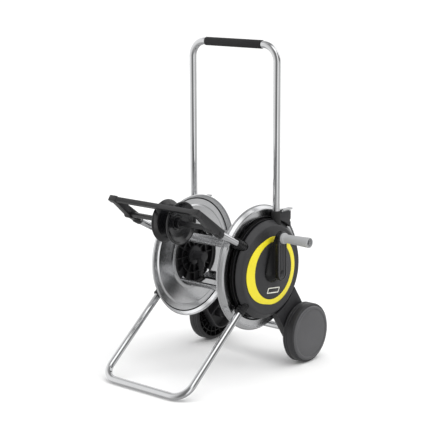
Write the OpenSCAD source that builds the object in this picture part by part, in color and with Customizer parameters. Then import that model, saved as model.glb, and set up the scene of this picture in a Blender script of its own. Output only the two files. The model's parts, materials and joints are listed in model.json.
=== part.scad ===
/* [Frame] */
// Overall height with the handle raised
overall_h = 1000; // [960:5:1020]
// Outer diameter of the handle, stand and guide tubes
tube_d = 22; // [20:1:22]
// Wall thickness of the tubes
tube_wall = 1.5; // [1.2:0.1:2]
// Distance between the two legs of the handle, centre to centre
handle_w = 328; // [326:1:330]
// Reach of the stand in front of the drum axis
stand_reach = 380; // [360:5:400]
// Height of the drum axis above the ground
drum_h = 320; // [316:1:326]

/* [Drum] */
// Diameter of the drum flanges at their rolled rim
flange_d = 385; // [370:1:386]
// Distance between the two flange rims
drum_w = 253; // [251:1:254]
// Diameter of the open drum core
core_d = 194; // [190:1:196]

/* [Side covers] */
// Diameter of each side cover at its base
cover_d = 300; // [296:1:302]
// Outer diameter of the coloured ring at its widest
ring_d = 243; // [240:1:246]

/* [Wheels] */
// Diameter of the wheels
wheel_d = 186; // [180:1:188]
// Width of the wheels
wheel_w = 44; // [40:1:46]
// Distance from the drum axis back to the wheel axle
axle_back = 157; // [155:1:162]

/* [Crank] */
// Radius of the crank, from the drum axis to the grip
crank_r = 104; // [98:1:110]
// Length of the crank grip
grip_len = 88; // [80:1:96]

/* [Hose guide] */
// Diameter of the two guide discs
disc_d = 128; // [120:1:132]
// Gap between the two guide discs
disc_gap = 46; // [40:1:50]

/* [Hidden] */
$fn = 96;
eps = 0.01;
running = 0.05;
gap = 0.2;
skin = 3;
tube_r = tube_d / 2;
tube_ri = tube_r - tube_wall;
frame_x = handle_w / 2;

// The origin stands on the ground below the middle of the overall box.
stand_y = -stand_reach;
wheel_r = wheel_d / 2;
grip_x0 = 233;
grip_end_x = grip_x0 + grip_len;
inlet_x = 214;
inlet_body_r = 13;
inlet_nut_r = 15;
origin_x = (grip_end_x - inlet_x - inlet_nut_r) / 2;
origin_y = (stand_y - tube_r + axle_back + wheel_r) / 2;

// Side frames, seen along X: the plate, the leg to the axle and the rear block.
plate_x0 = 143;
plate_x1 = 150;
plate_r = 152;
leg_x0 = plate_x0 + 0.6;
leg_x1 = 169.5;
leg_top = 130;
leg_r = 50;
leg_flare = 11;
leg_len = norm([axle_back, drum_h - wheel_r]);
leg_tilt = atan2(axle_back, drum_h - wheel_r);
leg_skin = 4;
spigot_x0 = 129;
spigot_r = 22;
shaft_r = 10;
axle_r = 6;
axle_boss_r = 15;
block_x1 = 175;
block_y0 = 44;
block_y1 = 100;
block_z1 = drum_h + 166;
block_notch = 8;

// Handle
handle_y = 42;
handle_bend = 50;
handle_foot = drum_h + 78;
grip_half = 109;
grip_r = tube_r + 1.9;
handle_top = overall_h - grip_r;
sleeve_r = tube_r + 2.5;
sleeve_z0 = drum_h + 118;
sleeve_z1 = drum_h + 172;
handle_travel = 190;

// Clamp levers on the rear blocks
lever_y1 = 112;
lever_t = 5;
lever_pin_y = 60;
lever_pin_z = block_z1 + 4;
lever_pin_r = 2.5;

// Stand: its legs rise towards the drum.
stand_x = 162;
stand_slope = 1.23;
stand_tilt = atan(stand_slope);
stand_bend = 50;
stand_len = 388;
stand_sock_s0 = 318;
stand_sock_s1 = 352;
stand_sock_r = 15.5;

// Guide tubes and guide frame
guide_x = 160;
guide_tilt = 28;
guide_s0 = 96;
guide_s1 = 240;
guide_off = 26;
collar_s0 = 108;
collar_s1 = 160;
collar_r = 15.5;
collar_ribs = 4;
arm_w = 22;
arm_collar_r = 12.8;
rod_y = -256;
rod_z = drum_h + 168.5;
rod_r = 8;
bar_y = -320.7;
bar_z = drum_h + 223.6;
bar_tilt = 37;
bar_h = 14;
bar_t = 14;
cap_t = 17;
cap_h = 18;
cap_len = 28;
spool_x = 19;
disc_r = disc_d / 2;
disc_t = 9;
spool_hub_r = 19;
bush_r = 11;

// Drum
flange_r = flange_d / 2;
core_r = core_d / 2;
rim_x = drum_w / 2;
sheet = 1.2;
face_x = rim_x + 12.5;
dish_r = 160;
groove_r = 180;
core_x = rim_x + 1;
bar_angles = [52, 128, 232, 308];
bar_half_deg = 9;
bar_sheet = 2.3;
hub_x1 = 141;
hub_face_x = 126;
hub_ribs = 12;
clutch_r = 18;
clutch_x0 = 112;
swivel_r = 15;
pipe_r = 8;
pipe_ri = 5;
pipe_end_x = 112;
outlet_deg = 270;
outlet_x = 100;
nipple_r = 8.5;

// Covers
cover_r = cover_d / 2;
cover_x0 = plate_x1 + 3;
seam_x = cover_x0 + 8;
cover_face_x = 180.7;
cover_face_r = cover_r - 13.5;
ring_r = ring_d / 2;
ring_low_r = ring_r - 18;
ring_rear_r = ring_r - 13;
ring_ri = ring_r - 33.5;
ring_t = 1.6;
slope_r = ring_r + 2;
slope_x = 185.4;
plateau_x = 187;

// Wheels
wheel_x0 = 172;
wheel_x1 = wheel_x0 + wheel_w;
tread_t = 7;
wheel_ribs = 20;

// Crank
crank_x0 = 189;
crank_x1 = 222;
crank_half = 21;
crank_boss_r = 36;
crank_boss_off = 6;

// Everything is drawn around the drum axis above the ground, then moved to the origin.
module placed() {
    translate([-origin_x, -origin_y, 0])
        children();
}

module mirrored() {
    mirror([1, 0, 0])
        children();
}

// A cylinder along X
module xcyl(x0, x1, r) {
    translate([x0, 0, 0])
        rotate([0, 90, 0])
            cylinder(h = x1 - x0, r = r);
}

// A ring along X
module xring(x0, x1, r, ri) {
    difference() {
        xcyl(x0, x1, r);
        xcyl(x0 - 1, x1 + 1, ri);
    }
}

// A profile of [radius, x] points turned about X
module xrev(points) {
    rotate([0, 90, 0])
        rotate_extrude()
            polygon(points);
}

// Children stand on the drum axis
module on_drum() {
    translate([0, 0, drum_h])
        children();
}

// A flat outline in Y and Z, extruded along X
module xplate(x0, x1) {
    translate([x0, 0, 0])
        rotate([90, 0, 90])
            linear_extrude(height = x1 - x0)
                children();
}

// A strip of sheet between two points of a profile
module strip(p, q, t) {
    d = (q - p) / norm(q - p);
    n = [-d[1], d[0]] * t / 2;
    polygon([p - n, q - n, q + n, p + n]);
    translate(q)
        circle(d = t, $fn = 24);
}

module ring_section(r, ri) {
    difference() {
        circle(r = r);
        circle(r = ri);
    }
}

// A U of tube: its cross bar lies along X at z = 0 and its legs rise along Z.
module u_tube(half_w, leg, bend) {
    bar = half_w - bend;
    translate([-bar, 0, 0])
        rotate([0, 90, 0])
            linear_extrude(height = 2 * bar)
                ring_section(tube_r, tube_ri);
    for (s = [0, 1])
        mirror([s, 0, 0]) {
            translate([bar, 0, bend])
                rotate([90, 0, 0])
                    rotate([0, 0, -90])
                        rotate_extrude(angle = 90)
                            translate([bend, 0])
                                ring_section(tube_r, tube_ri);
            translate([half_w, 0, bend])
                linear_extrude(height = leg - bend)
                    ring_section(tube_r, tube_ri);
        }
}

// Children lie along Z from the stand's cross bar towards the drum
module along_stand() {
    translate([0, stand_y, tube_r])
        rotate([-stand_tilt, 0, 0])
            children();
}

// Children lie along Z from beside the drum axis out to the hose guide
module along_guide() {
    translate([0, 0, drum_h + guide_off / cos(guide_tilt)])
        rotate([90 - guide_tilt, 0, 0])
            children();
}

// The leg's outline along -Z, from inside the plate's edge to a round foot
module leg_shape(inset) {
    w = leg_r - inset;
    translate([-w, -leg_len])
        square([2 * w, leg_len - leg_top]);
    polygon([
        [w - 1, -leg_top], [w + leg_flare, -leg_top], [w + leg_flare, 60 - leg_len], [w - 1, 10 - leg_len]
    ]);
    translate([0, -leg_len])
        circle(r = w);
}

module leg_slab(x0, x1, inset) {
    on_drum()
        rotate([leg_tilt, 0, 0])
            xplate(x0, x1)
                leg_shape(inset);
}

module leg_ribs() {
    on_drum()
        rotate([leg_tilt, 0, 0])
            for (z = [-leg_len + 34, -leg_len + 74])
                translate([plate_x0 + 2, -leg_r + 2, z])
                    cube([leg_x1 - plate_x0 - 4, 2 * leg_r - 4, skin]);
}

module screw_spots(r, degs) {
    for (a = degs)
        rotate([a, 0, 0])
            translate([0, r, 0])
                children();
}

cover_screw_degs = [20, 110, 180, 250, 310];
cover_screw_r = 122;

// The side frame without its axis bore
module side_frame_body() {
    on_drum() {
        xcyl(plate_x0, plate_x1, plate_r);
        xring(plate_x0, cover_x0, plate_r, plate_r - skin);
        xcyl(spigot_x0, plate_x1, spigot_r);
        xring(plate_x1 - 1, plate_x1 + 4, 30, 26);
    }
    difference() {
        leg_slab(leg_x0, leg_x1, 0);
        difference() {
            leg_slab(plate_x0 - 1, leg_x1 - leg_skin, leg_skin);
            on_drum()
                xcyl(plate_x0 - 2, leg_x1, plate_r + leg_skin);
        }
        on_drum()
            xcyl(plate_x1, leg_x1 + 1, plate_r + 0.6);
    }
    difference() {
        leg_ribs();
        on_drum()
            xcyl(plate_x0 - 2, leg_x1, plate_r + 2);
    }
    translate([0, axle_back, wheel_r])
        xcyl(plate_x0, leg_x1, axle_boss_r);
    difference() {
        translate([leg_x0, block_y0, drum_h + 60])
            cube([block_x1 - leg_x0, block_y1 - block_y0, block_z1 - drum_h - 60]);
        on_drum()
            xcyl(plate_x1, block_x1 + 1, plate_r + 0.6);
        translate([plate_x1, block_y1 - 3, block_z1 - 34])
            cube([block_x1, block_y1, block_notch]);
    }
}

// Room in the side frame for the sockets and tube ends
module side_cutters() {
    translate([guide_x, 0, 0])
        along_guide() {
            translate([0, 0, guide_s0 - 1])
                cylinder(h = 60, r = tube_r + gap);
            translate([0, 0, collar_s0 - 1])
                cylinder(h = 60, r = collar_r + gap);
        }
    translate([stand_x, 0, 0])
        along_stand()
            translate([0, 0, stand_sock_s0 - 1])
                cylinder(h = stand_sock_s1 - stand_sock_s0 + 2, r = stand_sock_r + gap);
}

module side_frame(bore) {
    difference() {
        side_frame_body();
        on_drum()
            xcyl(spigot_x0 - 1, plate_x1 + 5, bore);
        translate([0, axle_back, wheel_r])
            xcyl(plate_x0 - 1, leg_x1 + 1, axle_r + 0.1);
        translate([frame_x, handle_y, drum_h + 60])
            cylinder(h = 120, r = sleeve_r + 0.1);
        on_drum()
            screw_spots(cover_screw_r, cover_screw_degs) {
                xcyl(plate_x0 - 1, plate_x1 + 1, 2.2);
                xcyl(plate_x0 - 1, plate_x0 + 3, 4.4);
            }
        side_cutters();
    }
    difference() {
        for (x = [block_x1 - 5, plate_x0 + 7])
            translate([x, lever_pin_y - 5, block_z1 - 2])
                cube([3, 10, 11]);
        translate([0, lever_pin_y, lever_pin_z])
            xcyl(plate_x0 - 1, block_x1 + 1, lever_pin_r + running);
        translate([frame_x, handle_y, drum_h + 60])
            cylinder(h = 140, r = sleeve_r + 0.1);
    }
}

module right_side_frame() {
    color("#26272a")
        side_frame(shaft_r + running);
}

module left_side_frame() {
    color("#26272a")
        mirrored()
            side_frame(pipe_r + 0.1);
}

// The conical shell of a side cover, from its base to its raised middle
module cover_shell(hole_r) {
    difference() {
        on_drum()
            xrev([
                [cover_r - 6, cover_x0 + 0.2], [cover_r - 6, seam_x - 0.6], [cover_r - 1.6, seam_x],
                [cover_r - 0.4, seam_x + 0.8], [cover_r, seam_x + 2], [cover_r - 0.6, seam_x + 4.5],
                [cover_face_r + 1.4, cover_face_x - 4], [cover_face_r, cover_face_x - 1.6],
                [cover_face_r - 2.5, cover_face_x - 0.2], [cover_face_r - 6, cover_face_x + 0.2],
                [cover_face_r - 10, cover_face_x], [slope_r, cover_face_x - 0.6], [ring_ri - 0.4, slope_x],
                [ring_ri - 0.6, plateau_x - 0.4], [ring_ri - 1.4, plateau_x], [hole_r, plateau_x],
                [hole_r, plateau_x - skin], [ring_ri - 3, slope_x - skin],
                [slope_r - 8, cover_face_x - skin], [cover_face_r - 2.4, cover_face_x - skin - 0.6],
                [cover_r - skin - 2.4, seam_x + 4], [cover_r - 6 - skin, seam_x + 1.4],
                [cover_r - 6 - skin, cover_x0 + 0.2]
            ]);
        translate([frame_x, handle_y, drum_h])
            cylinder(h = 200, r = sleeve_r + 0.4);
        translate([guide_x, 0, 0])
            along_guide()
                translate([0, 0, collar_s0 - 6])
                    cylinder(h = 100, r = collar_r + 0.5);
        translate([stand_x, 0, 0])
            along_stand()
                cylinder(h = stand_len - 28, r = stand_sock_r + 0.4);
    }
}

module cover_bosses() {
    on_drum()
        screw_spots(cover_screw_r, cover_screw_degs)
            xring(plate_x1 + gap, cover_face_x - 2, 5.5, 1.9);
}

module right_cover() {
    color("#3d3e42") {
        cover_shell(12);
        cover_bosses();
    }
}

module left_cover() {
    color("#3d3e42")
        mirrored() {
            cover_shell(pipe_r + 1);
            cover_bosses();
        }
}

// The ring's outer edge, by the angle from the top towards the back: a wide lobe in front and a narrow one behind
function ring_edge(n = 120) = [for (i = [0:n - 1])
    let (a = i * 360 / n - 180,
         front = pow(max(0, cos(min(90, abs(a + 92) * 1.25))), 1.35),
         rear = max(0, cos(min(90, abs(a < -75 ? a + 255 : a - 105)))),
         r = ring_low_r + (ring_r - ring_low_r) * front + (ring_rear_r - ring_low_r) * rear)
    [r * sin(a), r * cos(a)]];

module accent_ring() {
    slope = (slope_x - cover_face_x + 0.6) / (slope_r - ring_ri + 0.4);
    color("#e6dc2e")
        on_drum()
            intersection() {
                xrev([
                    [ring_ri, slope_x + 0.1], [ring_ri, slope_x + ring_t - 0.3], [ring_ri + 0.6, slope_x + ring_t],
                    [slope_r + 1, slope_x + ring_t - slope * (slope_r + 1 - ring_ri)],
                    [slope_r + 1, slope_x + 0.1 - slope * (slope_r + 1 - ring_ri)]
                ]);
                xplate(cover_face_x - 6, plateau_x + 6)
                    polygon(ring_edge());
            }
}

module badge_plate() {
    color("#b9b9a8")
        translate([plateau_x, -1, drum_h - 61])
            rotate([-7, 0, 0])
                translate([0, -28, -8])
                    cube([1.5, 56, 16]);
}

module handle_sleeve() {
    translate([frame_x, handle_y, sleeve_z0])
        difference() {
            cylinder(h = sleeve_z1 - sleeve_z0, r = sleeve_r);
            translate([0, 0, -1])
                cylinder(h = sleeve_z1 - sleeve_z0 + 2, r = tube_r + running);
        }
}

module right_handle_sleeve() {
    color("#111214")
        handle_sleeve();
}

module left_handle_sleeve() {
    color("#111214")
        mirrored()
            handle_sleeve();
}

module guide_socket() {
    rib_step = (collar_s1 - collar_s0 - 6) / collar_ribs;
    translate([guide_x, 0, 0])
        along_guide()
            difference() {
                union() {
                    translate([0, 0, collar_s0])
                        cylinder(h = collar_s1 - collar_s0, r = collar_r - 2);
                    for (i = [0:collar_ribs - 1])
                        translate([0, 0, collar_s0 + 4 + i * rib_step])
                            cylinder(h = 6, r = collar_r);
                }
                translate([0, 0, collar_s0 - 1])
                    cylinder(h = collar_s1 - collar_s0 + 2, r = tube_r + 0.1);
            }
}

module right_guide_socket() {
    color("#111214")
        guide_socket();
}

module left_guide_socket() {
    color("#111214")
        mirrored()
            guide_socket();
}

module stand_socket() {
    translate([stand_x, 0, 0])
        along_stand()
            translate([0, 0, stand_sock_s0])
                difference() {
                    cylinder(h = stand_sock_s1 - stand_sock_s0, r = stand_sock_r);
                    translate([0, 0, -1])
                        cylinder(h = stand_sock_s1 - stand_sock_s0 + 2, r = tube_r + 0.1);
                }
}

module right_stand_socket() {
    color("#111214")
        stand_socket();
}

module left_stand_socket() {
    color("#111214")
        mirrored()
            stand_socket();
}

module stand_tube() {
    color("silver")
        along_stand()
            u_tube(stand_x, stand_len, stand_bend);
}

module axle_tube() {
    color("silver")
        translate([0, axle_back, wheel_r])
            xring(-plate_x0 + gap, plate_x0 - gap, 11.5, 10);
}

module wheel_axle() {
    color("silver")
        translate([0, axle_back, wheel_r])
            xcyl(-wheel_x1 + 12, wheel_x1 - 12, axle_r);
}

module axle_clips() {
    color("dimgray")
        translate([0, axle_back, wheel_r])
            for (x = [-wheel_x1 + 13, wheel_x1 - 15])
                xring(x, x + 2, 10, axle_r + eps);
}

module cover_screws() {
    color("gray")
        for (s = [0, 1])
            mirror([s, 0, 0])
                on_drum()
                    screw_spots(cover_screw_r, cover_screw_degs) {
                        xcyl(plate_x0 + 0.4, plate_x0 + 2.8, 4.2);
                        xcyl(plate_x0 + 1, plate_x1 + 14, 1.85);
                    }
}

// Water way: a fixed pipe through the left bearing, turned by an elbow outside
module inlet_pipe() {
    color("#c9a24a")
        mirrored()
            on_drum()
                difference() {
                    xcyl(pipe_end_x, inlet_x - inlet_body_r - 0.2, pipe_r);
                    xcyl(pipe_end_x - 1, inlet_x, pipe_ri);
                    xring(pipe_end_x + 4, pipe_end_x + 7, pipe_r + 1, pipe_r - 2);
                }
}

module swivel_seal() {
    color("black")
        mirrored()
            on_drum()
                translate([pipe_end_x + 5.5, 0, 0])
                    rotate([0, 90, 0])
                        rotate_extrude()
                            translate([pipe_r - 0.95, 0])
                                circle(r = 0.98, $fn = 32);
}

module inlet_elbow() {
    color("#1b1c1e")
        mirrored()
            on_drum()
                difference() {
                    union() {
                        xcyl(plateau_x + gap, inlet_x, 17);
                        translate([inlet_x, 0, 0])
                            sphere(r = inlet_body_r);
                        translate([inlet_x, 0, -34])
                            cylinder(h = 34, r = inlet_body_r);
                    }
                    xcyl(plateau_x - 1, inlet_x - inlet_body_r, pipe_r + 0.1);
                    xcyl(inlet_x - inlet_body_r - 1, inlet_x, pipe_ri);
                    translate([inlet_x, 0, -35])
                        cylinder(h = 35, r = pipe_ri + 1);
                }
}

module inlet_nut() {
    color("#55575b")
        mirrored()
            on_drum()
                translate([inlet_x, 0, -48])
                    difference() {
                        cylinder(h = 13.8, r = inlet_nut_r, $fn = 12);
                        translate([0, 0, -1])
                            cylinder(h = 16, r = pipe_ri + 1);
                    }
}

module inlet_nipple() {
    color("#d08a2a")
        mirrored()
            on_drum()
                translate([inlet_x, 0, -84])
                    difference() {
                        union() {
                            cylinder(h = 14, r = 6.5);
                            translate([0, 0, 14])
                                cylinder(h = 5, r = nipple_r);
                            translate([0, 0, 19])
                                cylinder(h = 5, r = 6.5);
                            translate([0, 0, 24])
                                cylinder(h = 11.8, r = nipple_r);
                        }
                        translate([0, 0, -1])
                            cylinder(h = 40, r = 4.5);
                    }
}

module guide_tube() {
    translate([guide_x, 0, 0])
        along_guide()
            translate([0, 0, guide_s0])
                linear_extrude(height = guide_s1 - guide_s0)
                    ring_section(tube_r, tube_ri);
}

module right_guide_tube() {
    color("silver")
        guide_tube();
}

module left_guide_tube() {
    color("silver")
        mirrored()
            guide_tube();
}

// A guide arm: a flat limb that widens down to a collar with a plug in the tube's end
module guide_arm() {
    difference() {
        union() {
            xplate(guide_x - arm_w / 2, guide_x + arm_w / 2) {
                polygon([
                    [bar_y + 14, bar_z + 2.4], [-206.8, drum_h + 154], [-218.6, drum_h + 135],
                    [-262, drum_h + 163], [bar_y + 3.5, bar_z - 10.6], [bar_y + 9.5, bar_z - 3.2]
                ]);
                translate([rod_y, rod_z])
                    circle(r = 12);
            }
            translate([guide_x, 0, 0])
                along_guide() {
                    translate([0, 0, guide_s1 + 0.1])
                        cylinder(h = 20, r = arm_collar_r);
                    translate([0, 0, guide_s1 - 24])
                        cylinder(h = 26, r = tube_ri - 0.1);
                }
        }
        translate([0, rod_y, rod_z])
            xcyl(guide_x - arm_w, guide_x + 5, rod_r + 0.1);
        along_guide()
            translate([0, 0, guide_s1 + 9])
                xcyl(guide_x - arm_collar_r - 10, guide_x - 3, 2.1);
    }
}

module right_guide_arm() {
    color("#2a2b2e")
        guide_arm();
}

module left_guide_arm() {
    color("#2a2b2e")
        mirrored()
            guide_arm();
}

module guide_top_bar() {
    color("#2a2b2e")
        translate([0, bar_y, bar_z])
            rotate([-bar_tilt, 0, 0]) {
                xplate(-guide_x, guide_x)
                    square([bar_t, bar_h], center = true);
                for (x = [-guide_x - cap_len / 2, guide_x - cap_len / 2])
                    xplate(x, x + cap_len)
                        square([cap_t, cap_h], center = true);
            }
}

module guide_rod() {
    color("#202124")
        translate([0, rod_y, rod_z])
            xcyl(-guide_x - 4.8, guide_x + 4.8, rod_r);
}

module guide_screws() {
    color("gray")
        for (s = [0, 1])
            mirror([s, 0, 0])
                along_guide()
                    translate([0, 0, guide_s1 + 9]) {
                        xcyl(guide_x - arm_collar_r - 2.4, guide_x - arm_collar_r - 0.1, 3.6);
                        xcyl(guide_x - arm_collar_r - 1, guide_x - 4, 2);
                    }
}

module guide_bush() {
    color("#3a3a3e")
        translate([spool_x, rod_y, rod_z])
            xring(-disc_gap / 2 - disc_t, disc_gap / 2 + disc_t, bush_r, rod_r + running);
}

// Half of the guide spool: a bowl-shaped disc and its half of the hub
module guide_disc() {
    x0 = disc_gap / 2;
    x1 = x0 + disc_t;
    xrev([
        [bush_r + running, 0.1], [spool_hub_r, 0.1], [spool_hub_r + 0.5, x0 - 16], [spool_hub_r + 4, x0 - 9],
        [disc_r - 33, x0 - 4.5], [disc_r - 20, x0 - 1.5], [disc_r - 5, x0 + 1.5], [disc_r - 1, x0 + 3],
        [disc_r, x0 + 5.5], [disc_r - 1, x1 - 1], [disc_r - 3, x1], [disc_r - 6, x1 - 1], [disc_r - 12, x0 + 4],
        [disc_r - 22, x0 + 1.2], [disc_r - 33, x0 - 2], [spool_hub_r + 5, x0 - 6], [spool_hub_r, x0 - 13],
        [bush_r + 5, x0 - 14], [bush_r + 4, x1 - 4], [bush_r + running, x1 - 3]
    ]);
}

module right_guide_disc() {
    color("#1c1d20")
        translate([spool_x, rod_y, rod_z])
            guide_disc();
}

module left_guide_disc() {
    color("#1c1d20")
        translate([spool_x, rod_y, rod_z])
            mirrored()
                guide_disc();
}

// A drum flange: lip, dish, flat band, sloped wall and rolled rim
module flange() {
    on_drum()
        rotate([0, 90, 0])
            rotate_extrude() {
                strip([core_r + 0.6, core_x - 6], [core_r + 0.6, core_x], sheet);
                strip([core_r + 0.6, core_x], [core_r + 9, core_x + 3], sheet);
                strip([core_r + 9, core_x + 3], [dish_r - 4, face_x - 2.5], sheet);
                strip([dish_r - 4, face_x - 2.5], [dish_r, face_x], sheet);
                strip([dish_r, face_x], [groove_r - 4, face_x], sheet);
                strip([groove_r - 4, face_x], [groove_r - 2.5, face_x + 1.2], sheet);
                strip([groove_r - 2.5, face_x + 1.2], [groove_r, face_x - 0.5], sheet);
                strip([groove_r, face_x - 0.5], [flange_r - 4, rim_x + 3.5], sheet);
                strip([flange_r - 4, rim_x + 3.5], [flange_r - 3, rim_x], sheet);
                translate([flange_r - 3, rim_x])
                    circle(r = 3, $fn = 32);
            }
}

module right_flange() {
    color("silver")
        flange();
}

module left_flange() {
    color("silver")
        mirrored()
            flange();
}

// One bar of the drum core, with a foot turned inwards at each end
module core_bar(deg) {
    end_x = hub_face_x - 0.1;
    arc = 2 * bar_half_deg;
    on_drum()
        rotate([0, 90, 0])
            rotate([0, 0, deg + 90 - bar_half_deg]) {
                rotate_extrude(angle = arc)
                    translate([core_r - bar_sheet - 0.3, -end_x])
                        square([bar_sheet, 2 * end_x]);
                for (x = [-end_x, end_x - bar_sheet])
                    rotate_extrude(angle = arc)
                        translate([core_r - 15, x])
                            square([15 - 0.3, bar_sheet]);
                for (a = [0, arc - 2])
                    rotate([0, 0, a])
                        rotate_extrude(angle = 2)
                            translate([core_r - 8, -end_x])
                                square([8 - 0.3, 2 * end_x]);
            }
}

module core_bar_1() {
    color("silver")
        core_bar(bar_angles[0]);
}

module core_bar_2() {
    color("silver")
        core_bar(bar_angles[1]);
}

module core_bar_3() {
    color("silver")
        core_bar(bar_angles[2]);
}

module core_bar_4() {
    color("silver")
        core_bar(bar_angles[3]);
}

// A drum hub: a plate with ribs, a rim for the core bars and a bearing boss
module hub_body() {
    rim_r = core_r - 0.3;
    on_drum() {
        xring(hub_x1 - skin, hub_x1, rim_r, spigot_r + running);
        xring(hub_face_x, hub_x1, rim_r, rim_r - 12);
        xring(hub_face_x, hub_x1, spigot_r + 8, spigot_r + running);
        xring(hub_face_x + 2, hub_x1, 58, 55);
        for (i = [0:hub_ribs - 1])
            rotate([i * 360 / hub_ribs, 0, 0])
                translate([hub_face_x + 3, spigot_r + 6, -1.25])
                    cube([hub_x1 - hub_face_x - 4, rim_r - 10 - spigot_r - 6, 2.5]);
    }
}

module right_hub() {
    color("#17181a") {
        hub_body();
        on_drum()
            xring(hub_face_x, spigot_x0 - 0.5, spigot_r + 4, clutch_r + 0.1);
    }
}

module left_hub() {
    color("#17181a")
        mirrored()
            hub_body();
}

module hub_screws() {
    color("gray")
        on_drum()
            for (s = [0, 1])
                mirror([s, 0, 0])
                    for (a = bar_angles)
                        rotate([a, 0, 0])
                            translate([0, core_r - 9, 0])
                                xcyl(hub_face_x - 6, hub_face_x - bar_sheet - 0.2, 4);
}

module clutch_housing() {
    color("#17181a")
        on_drum() {
            xring(clutch_x0 - 3, hub_face_x - 0.1, spigot_r + 4, clutch_r + 0.1);
            xring(hub_face_x - 4, hub_face_x - 0.1, spigot_r + 9, spigot_r + 3);
        }
}

module drive_clutch() {
    color("#17181a")
        on_drum()
            difference() {
                xcyl(clutch_x0, hub_face_x + 1, clutch_r);
                xcyl(clutch_x0 + 4, hub_face_x + 2, shaft_r + running);
            }
}

module outlet_frame() {
    on_drum()
        translate([-outlet_x, 0, 0])
            rotate([outlet_deg - 90, 0, 0])
                children();
}

module swivel_elbow() {
    color("#1b1c1e")
        difference() {
            union() {
                on_drum() {
                    xcyl(-hub_face_x + 0.2, -outlet_x + swivel_r, swivel_r);
                    xcyl(-hub_face_x + 0.2, -hub_face_x + 3.2, spigot_r + 6);
                }
                outlet_frame()
                    cylinder(h = 34, r = swivel_r - 3);
            }
            on_drum() {
                xcyl(-hub_face_x - 1, -pipe_end_x + 2, pipe_r + running);
                xcyl(-pipe_end_x - 1, -outlet_x + 6, pipe_ri);
            }
            outlet_frame()
                cylinder(h = 36, r = pipe_ri);
        }
}

module drum_nipple() {
    color("#d08a2a")
        outlet_frame()
            translate([0, 0, 34.1])
                difference() {
                    union() {
                        cylinder(h = 8, r = nipple_r);
                        translate([0, 0, 8])
                            cylinder(h = 5, r = 6.5);
                        translate([0, 0, 13])
                            cylinder(h = 4, r = nipple_r);
                        translate([0, 0, 17])
                            cylinder(h = 12, r = 6.5);
                    }
                    translate([0, 0, -1])
                        cylinder(h = 40, r = 4.5);
                }
}

module crank_shaft() {
    color("#9a9da1")
        on_drum()
            xcyl(clutch_x0 + 5, crank_x1 - 12, shaft_r);
}

// The rounded outline of the crank arm at one height, standing on the drum axis
function arm_outline(half, low, top, n = 24) = concat(
    [for (i = [0:n]) [half * cos(180 + 180 * i / n), -low + half + half * sin(180 + 180 * i / n)]],
    [for (i = [0:n]) [half * cos(180 * i / n), top - half + half * sin(180 * i / n)]]
);

module crank_arm() {
    color("#2b2c2f")
        on_drum()
            difference() {
                hull() {
                    for (y = [-crank_boss_off, crank_boss_off])
                        translate([0, y, 0])
                            xcyl(crank_x0, crank_x0 + 2, crank_boss_r);
                    xplate(crank_x1 - 10, crank_x1)
                        polygon(arm_outline(crank_half, 26, crank_r + crank_half));
                }
                xcyl(crank_x0 - 1, crank_x1 - 12 + gap, shaft_r + 0.1);
                xcyl(crank_x1 - 13, crank_x1 + 1, 3.2);
                xcyl(crank_x1 - 4, crank_x1 + 1, 7);
                translate([0, 0, crank_r])
                    xcyl(crank_x1 - 20, crank_x1 + 1, 5.1);
            }
}

module crank_screw() {
    color("gray")
        on_drum() {
            xcyl(crank_x1 - 3.9, crank_x1 - 0.5, 6.5);
            xcyl(crank_x1 - 11.6, crank_x1 - 3, 3);
        }
}

module grip_pin() {
    color("#9a9da1")
        translate([0, 0, drum_h + crank_r]) {
            xcyl(crank_x1 - 19, grip_end_x - 12, 5);
            xcyl(grip_end_x - 12, grip_end_x - 9, 8);
        }
}

module crank_grip() {
    color("#a9abad")
        translate([0, 0, drum_h + crank_r])
            xrev([
                [5.05, crank_x1 + 0.6], [15.8, crank_x1 + 0.6], [16.6, crank_x1 + 2], [16.2, grip_x0 - 2],
                [13, grip_x0 + 1.5], [12.8, grip_x0 + 10], [15.4, grip_end_x - 8], [15.4, grip_end_x - 3],
                [14, grip_end_x],
                [9, grip_end_x], [9, grip_end_x - 12.5], [5.05, grip_end_x - 12.5]
            ]);
}

// The wheel: a ribbed dish, open towards the cart
module wheel() {
    rim_r = wheel_r - tread_t - 0.1;
    translate([0, axle_back, wheel_r]) {
        xring(wheel_x0, wheel_x1 - 6, rim_r, rim_r - 4);
        xring(wheel_x1 - 9, wheel_x1 - 6, rim_r, axle_r + running);
        xring(wheel_x0, wheel_x1 - 16, axle_boss_r - 1, axle_r + running);
        for (r = [32, 50, 67])
            xring(wheel_x0 + 6, wheel_x1 - 8, r + 1, r - 1);
        difference() {
            for (i = [0:wheel_ribs - 1])
                rotate([i * 360 / wheel_ribs, 0, 0])
                    translate([wheel_x0 + 4, axle_boss_r - 2, -0.9])
                        cube([wheel_w - 11, rim_r - 2 - axle_boss_r + 2, 1.8]);
            xcyl(wheel_x1 - 16.5, wheel_x1 - 8.9, 20);
        }
    }
}

module wheel_part() {
    difference() {
        wheel();
        translate([0, axle_back, wheel_r])
            xcyl(wheel_x1 - 16, wheel_x1 - 5, 12);
    }
}

module right_wheel() {
    color("#3a3b3e")
        wheel_part();
}

module left_wheel() {
    color("#3a3b3e")
        mirrored()
            wheel_part();
}

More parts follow.
